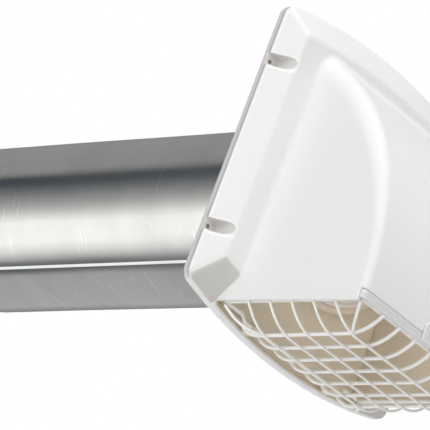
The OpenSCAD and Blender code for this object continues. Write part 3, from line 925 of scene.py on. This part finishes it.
def pocket_masks(tree, beside, d, z):
    """1 in the screw pockets, where painted shade goes, 1 on the lips round them, where a painted highlight
    goes, and 1 in the screw holes, where a darker painted shade goes.
    """
    level = tree.sums("SUBTRACT", z, SCREW_RISE)
    above = tree.sums("SUBTRACT", level, tree.sums("MULTIPLY", tree.sums("SIGN", level), SCREW_HALF_SPACING))
    out = tree.sums("MAXIMUM", tree.sums("SUBTRACT", POCKET_X, beside), 0)
    slot = tree.distance(out, tree.sums("SUBTRACT", above, POCKET_RISE))
    pocket = tree.product(tree.fade("pocket", slot, POCKET_R), tree.fade("pocket_depth", d, POCKET_FLOOR))
    lip = tree.product(tree.fade("lip", slot, POCKET_R), tree.fade("lip_end", slot, POCKET_R))
    low_lip = tree.product(tree.fade("low_lip", slot, POCKET_R), tree.fade("low_lip_end", slot, POCKET_R),
                           tree.fade("low_lip_height", above))
    lip = tree.product(tree.sums("MAXIMUM", lip, low_lip), tree.fade("lip_depth", d, RIM_T))
    from_screw = tree.distance(tree.sums("SUBTRACT", beside, SCREW_X), above)
    return pocket, lip, tree.fade("hole", from_screw, SCREW_HOLE_R[1])


def under_mask(tree, beside, d, z, past):
    """1 on the bottom bevel, outside the cowl, where a grey painted shade goes."""
    to_side = tree.sums("DIVIDE", tree.sums("SUBTRACT", FLANGE_HALF, beside), BEVEL_SIDE)
    to_end = tree.sums("DIVIDE", tree.sums("ADD", z, FLANGE_SIDE), BEVEL_END)
    return tree.product(tree.fade("under_mitre", tree.sums("SUBTRACT", to_side, to_end)),
                        tree.fade("under_cowl", past), tree.fade("under_rim", d, RIM_T),
                        tree.fade("under_panel", d, PANEL_RISE))


def hood_places(tree, colour):
    """The hood's colour by place: painted shade on the rim's sides, in the pockets and screw holes, on the
    bottom bevel and inside, and painted highlights on the crests and the pockets' lips.
    """
    scale = tree.nodes.new("ShaderNodeVectorMath")
    scale.operation = "MULTIPLY"
    scale.inputs[1].default_value = (1 / MM, -1 / MM, 1 / MM)
    tree.put(scale.inputs[0], tree.place())
    x, d, z = tree.axes(scale.outputs[0])
    beside = tree.sums("ABSOLUTE", x)
    past = past_cheek(tree, beside, z)
    rim = rim_mask(tree, beside, d, z)
    line = tree.product(rim, tree.fade("line_depth", d, RIM_LINE[0]))
    crest_highlight = tree.product(tree.fade("crest_side", beside, FLANGE_HALF),
                         tree.fade("crest_depth", d, RIM_LINE[1]))
    pocket, lip, hole = pocket_masks(tree, beside, d, z)
    for factor, other in ((rim, RIM_SHADE_GREY), (line, RIM_LINE_GREY),
                          (tree.sums("MAXIMUM", crest_highlight, lip), EDGE_HIGHLIGHT_WHITE),
                          (inside_mask(tree, x, d, z, past), PAINTED_INSIDE_SHADE),
                          (under_mask(tree, beside, d, z, past), UNDER_SHADE_GREY),
                          (pocket, POCKET_SHADE_GREY), (hole, HOLE_SHADE_BROWN)):
        colour = tree.between(factor, colour, other)
    return colour


def sheet_metal(name):
    """Bright rolled sheet: drawing lines along it, cloudy patches, scratches, duller near the hood."""
    material, tree, shader = new_material(name)
    shader.inputs["Metallic"].default_value = 1.0
    lines = tree.noise(*SHEET_LINES)
    clouds = tree.noise(*SHEET_CLOUDS)
    colour = tree.between(lines, SHEET_PALE, SHEET_DARK)
    colour = tree.between(tree.spread(clouds, *CLOUD_SHARE), colour, SHEET_CLOUD)
    scratches = tree.product(tree.step(tree.noise(*SCRATCHES), *SCRATCH_FROM),
                             tree.step(tree.noise(*SCRATCH_PATCHES), *PATCH_FROM), SCRATCH_STRENGTH)
    tree.put(shader.inputs["Base Color"], tree.between(scratches, colour, SCRATCH_WHITE))
    along = tree.axes(tree.place())[1]
    near = tree.step(along, TAIL_LEN * MM, DULL_WITHIN * MM)
    roughness = tree.sums("MULTIPLY_ADD", near, SHEET_DULLER, tree.spread(clouds, *SHEET_GLOSS))
    tree.put(shader.inputs["Roughness"], roughness)
    tree.bump(tree.noise(*SHEET_RELIEF), RELIEF_STRENGTH, shader)
    return material


def steel(name):
    """Plain drawn steel with fine rings round it."""
    material, tree, shader = new_material(name)
    shader.inputs["Metallic"].default_value = 1.0
    rings = tree.noise(*STEEL_RINGS)
    tree.put(shader.inputs["Base Color"], tree.between(rings, STEEL_PALE, STEEL_DARK))
    tree.put(shader.inputs["Roughness"], tree.spread(rings, *STEEL_GLOSS))
    return material


HOOD_WHITE = plastic("hood_white", (0.86, 0.86, 0.855), (0.84, 0.84, 0.835), 0.38, places=hood_places)
RAIL_WHITE = plastic("rail_white", (0.79, 0.79, 0.785), (0.76, 0.76, 0.755), 0.38)
# A shaded copy of the white plastic, with the inside's painted shade, for the hooks and the damper's seat.
INSIDE_SHADED_PLASTIC = plastic("inside_shaded_plastic", PAINTED_INSIDE_SHADE, tuple(INSIDE_SHADE * c for c in PAINTED_INSIDE_SHADE), 0.45)
GUARD_WHITE = plastic("guard_white", (0.95, 0.95, 0.93), (0.93, 0.93, 0.91), 0.36, WIRE_GRAIN)
# Painted shade: the flap greyer and warmer than the hood, for the dim warm light inside the cowl.
FLAP_SHADED_WHITE = plastic("flap_shaded_white", (0.80, 0.79, 0.76), (0.76, 0.75, 0.72), 0.5)
DUCT_METAL = sheet_metal("duct_metal")
PIN_STEEL = steel("pin_steel")


# ---------------------------------------------------------------- assembly

def dress(piece, material, slot, body, *nodes):
    """Gives a piece its finish and its body, and lets it stand for CAD nodes."""
    piece.data.materials.clear()
    piece.data.materials.append(material)
    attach(piece, body)
    if nodes:
        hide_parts(*nodes)


hood = field_piece("hood", hood_field, (-FLANGE_HALF, 0, -FLANGE_TOP),
                   (FLANGE_HALF, COWL_R + COWL_DEPTH, FLANGE_TOP), HOOD_MESH)
dress(hood, HOOD_WHITE, "hood_plastic", "root", "hood_shell")
for side, side_name in ((-1, "left"), (1, "right")):
    hook = field_piece(f"guard_hook_{side_name}", lambda x, d, z, s=side: hook_field(x - s * HOOK_X, d, z),
                       (side * HOOK_X - HOOK_HALF_W, 0, REAR_Z - HOOK_R),
                       (side * HOOK_X + HOOK_HALF_W, REAR_DEPTH + HOOK_R, REAR_Z + HOOK_R), HOOK_MESH)
    dress(hook, INSIDE_SHADED_PLASTIC, "hood_plastic", "root")

seat = field_piece("damper_seat", damper_frame_field, (-CHEEK_LOW[1], -COLLAR_LEN, MOUTH_Z),
                   (CHEEK_LOW[1], HINGE_DEPTH + EAR_R, SEAT_GRID_TOP), SEAT_MESH)
dress(seat, INSIDE_SHADED_PLASTIC, "hood_plastic", "root", "damper_frame")
flap = field_piece("flap", flap_field, (-FLAP_R, HINGE_DEPTH - KNUCKLE_R, -FLAP_R),
                   (FLAP_R, FLAP_DEPTH + FLAP_RIM_T, HINGE_Z + KNUCKLE_R), FLAP_MESH)
dress(flap, FLAP_SHADED_WHITE, "flap_plastic", "damper", "damper_flap")
rail = field_piece("rail", rail_field, (-CHEEK_LOW[1], RAIL_BACK - LEDGE_REACH - RAIL_GRID_ROOM, RAIL_LOW),
                   (CHEEK_LOW[1], TAB_IN_R + TAB_T + COWL_DEPTH, TAB_TOP), RAIL_MESH)
dress(rail, RAIL_WHITE, "guard_wire", "guard", "front_rail")
for wire in guard_wires():
    dress(wire, GUARD_WHITE, "guard_wire", "guard", "guard_" + wire.name)
pipe = tailpiece()
dress(pipe, DUCT_METAL, "duct_metal", "root", "tailpiece_pipe")
pin = frame["nodes"]["damper_hinge_pin"]
pin.data.materials.clear()
pin.data.materials.append(PIN_STEEL)


# ---------------------------------------------------------------- stage, light and camera
# From here on, lengths are in metres.

FLOOR_Z = -0.95
FLOOR_HALF = 9.0
FLOOR_PALE = 0.35

# What the tailpiece mirrors, by the angle round its axis from the right side up over the top: a grey
# ceiling, a dark gap at the left, a white sweep below it, another gap, and a grey floor.
STUDIO = ((-180, 0.48), (-170, 0.76), (-158, 1.18), (-132, 1.20), (-118, 0.90), (-108, 0.52), (-102, 0.20),
          (-90, 0.12), (-82, 0.44), (-12, 0.46), (8, 0.27), (30, 0.24), (70, 0.31), (124, 0.32), (131, 0.22),
          (136, 0.07), (146, 0.08), (156, 0.17), (168, 0.30), (180, 0.48))
STUDIO_END = 0.45
STUDIO_END_FROM = (0.88, 0.99)
COOL_UNDER = 0.22
COOL = 0.012
AMBIENT_BELOW = 1.2
AMBIENT_ABOVE = 0.38
AMBIENT_TURN = 0.7

# The photo's camera: where it is, and the directions of its axes
CAMERA_PLACE = (-1.303327, -1.457558, -0.791340)
CAMERA_RIGHT = (0.63369207, -0.70030478, 0.32864506)
CAMERA_UP = (-0.49004919, -0.03468341, 0.87100451)
CAMERA_BACK = (-0.59857009, -0.71300089, -0.36516239)
CAMERA_LENS = 311.76
CAMERA_SENSOR = 36.0
CAMERA_NEAR = 0.05
HOOD_MIDDLE = (0, -0.04, 0)


def stage():
    """A wide pale floor, seen only from above."""
    mesh = bpy.data.meshes.new("floor")
    corners = [(x * FLOOR_HALF, y * FLOOR_HALF, FLOOR_Z) for x, y in ((-1, -1), (1, -1), (1, 1), (-1, 1))]
    mesh.from_pydata(corners, [], [(0, 1, 2, 3)])
    floor = bpy.data.objects.new("floor", mesh)
    bpy.context.scene.collection.objects.link(floor)
    material, tree, shader = new_material("floor")
    shader.inputs["Base Color"].default_value = (0.9, 0.9, 0.9, 1)
    shader.inputs["Roughness"].default_value = 0.9

    def mixed(factor, a, b):
        mix = tree.nodes.new("ShaderNodeMixShader")
        for socket, value in zip(mix.inputs, (factor, a, b)):
            tree.put(socket, value)
        return mix.outputs[0]

    # the camera sees the floor paler than it is lit, so that no light is added for it
    seen = tree.nodes.new("ShaderNodeLightPath").outputs["Is Camera Ray"]
    glow = tree.nodes.new("ShaderNodeEmission").outputs[0]
    paler = mixed(tree.sums("MULTIPLY", seen, FLOOR_PALE), shader.outputs[0], glow)
    from_below = tree.nodes.new("ShaderNodeNewGeometry").outputs["Backfacing"]
    clear = tree.nodes.new("ShaderNodeBsdfTransparent").outputs[0]
    tree.put(tree.nodes["Material Output"].inputs["Surface"], mixed(from_below, paler, clear))
    mesh.materials.append(material)
    floor.visible_glossy = False


def world():
    """White behind the object, soft light on it, and a plain studio for reflections."""
    scene_world = bpy.data.worlds.new("studio")
    bpy.context.scene.world = scene_world
    tree = Tree(scene_world)
    x, y, z = tree.axes(tree.place("Generated"))
    turn = tree.sums("MULTIPLY_ADD", tree.sums("ARCTAN2", z, x), 0.5 / math.pi, 0.5)
    ramp_node = tree.nodes.new("ShaderNodeValToRGB")
    tree.put(ramp_node.inputs[0], turn)
    stops = ramp_node.color_ramp.elements
    for _ in STUDIO[2:]:
        stops.new(0.5)
    # places first and levels after, because the stops may be sorted when one moves
    for stop, (angle, _) in zip(stops, STUDIO):
        stop.position = (angle + 180) / 360
    for stop, (_, level) in zip(stops, STUDIO):
        cool = COOL if level < COOL_UNDER else 0.0
        stop.color = (level - cool, level, level + cool, 1)
    at_end = tree.step(tree.sums("ABSOLUTE", y), *STUDIO_END_FROM)
    studio = tree.between(at_end, ramp_node.outputs["Color"], (STUDIO_END,) * 3)
    ambient = tree.between(tree.step(z, -AMBIENT_TURN, AMBIENT_TURN), (AMBIENT_BELOW,) * 3,
                           (AMBIENT_ABOVE,) * 3)
    path = tree.nodes.new("ShaderNodeLightPath")
    seen = tree.sums("MAXIMUM", path.outputs["Is Camera Ray"], path.outputs["Is Transmission Ray"])
    lit = tree.between(path.outputs["Is Glossy Ray"], ambient, studio)
    tree.put(tree.nodes["Background"].inputs["Color"], tree.between(seen, lit, (1.0, 1.0, 1.0)))


def lamp(name, place, size, power, colour=(1, 1, 1), aim=HOOD_MIDDLE):
    """A square soft light at a place, aimed at the hood."""
    data = bpy.data.lights.new(name, "AREA")
    data.size = size
    data.energy = power
    data.color = colour
    obj = bpy.data.objects.new(name, data)
    bpy.context.scene.collection.objects.link(obj)
    obj.location = place
    obj.rotation_mode = "QUATERNION"
    obj.rotation_quaternion = (Vector(aim) - Vector(place)).to_track_quat("-Z", "Y")
    obj.visible_camera = False
    obj.visible_glossy = False


def camera():
    """The photo's viewpoint: low, in front of the hood and to its left."""
    data = bpy.data.cameras.new("camera")
    data.lens = CAMERA_LENS
    data.sensor_width = CAMERA_SENSOR
    data.clip_start = CAMERA_NEAR
    obj = bpy.data.objects.new("camera", data)
    bpy.context.scene.collection.objects.link(obj)
    turn = Matrix((CAMERA_RIGHT, CAMERA_UP, CAMERA_BACK)).transposed().to_4x4()
    obj.matrix_world = Matrix.Translation(CAMERA_PLACE) @ turn
    bpy.context.scene.camera = obj


stage()
world()
lamp("top", (0, -0.5, 2.0), 1.4, 24.3)
lamp("left", (-2.0, -0.3, 0.2), 1.4, 9)
lamp("front_left", (-1.4, -1.3, 0.9), 1.4, 10.8)
lamp("under", (0.1, 1.1, -0.8), 0.8, 5.4)
lamp("behind", (0, 2.4, 0.25), 0.8, 9)
# White plastic this thin lets light through; this small warm lamp in the cowl stands for it.
lamp("through_wall", (0.015, -0.072, -0.03), 0.09, 0.0185, (1.0, 0.96, 0.88), (0.015, 0, -0.03))
camera()
bpy.context.scene.view_settings.view_transform = "Standard"
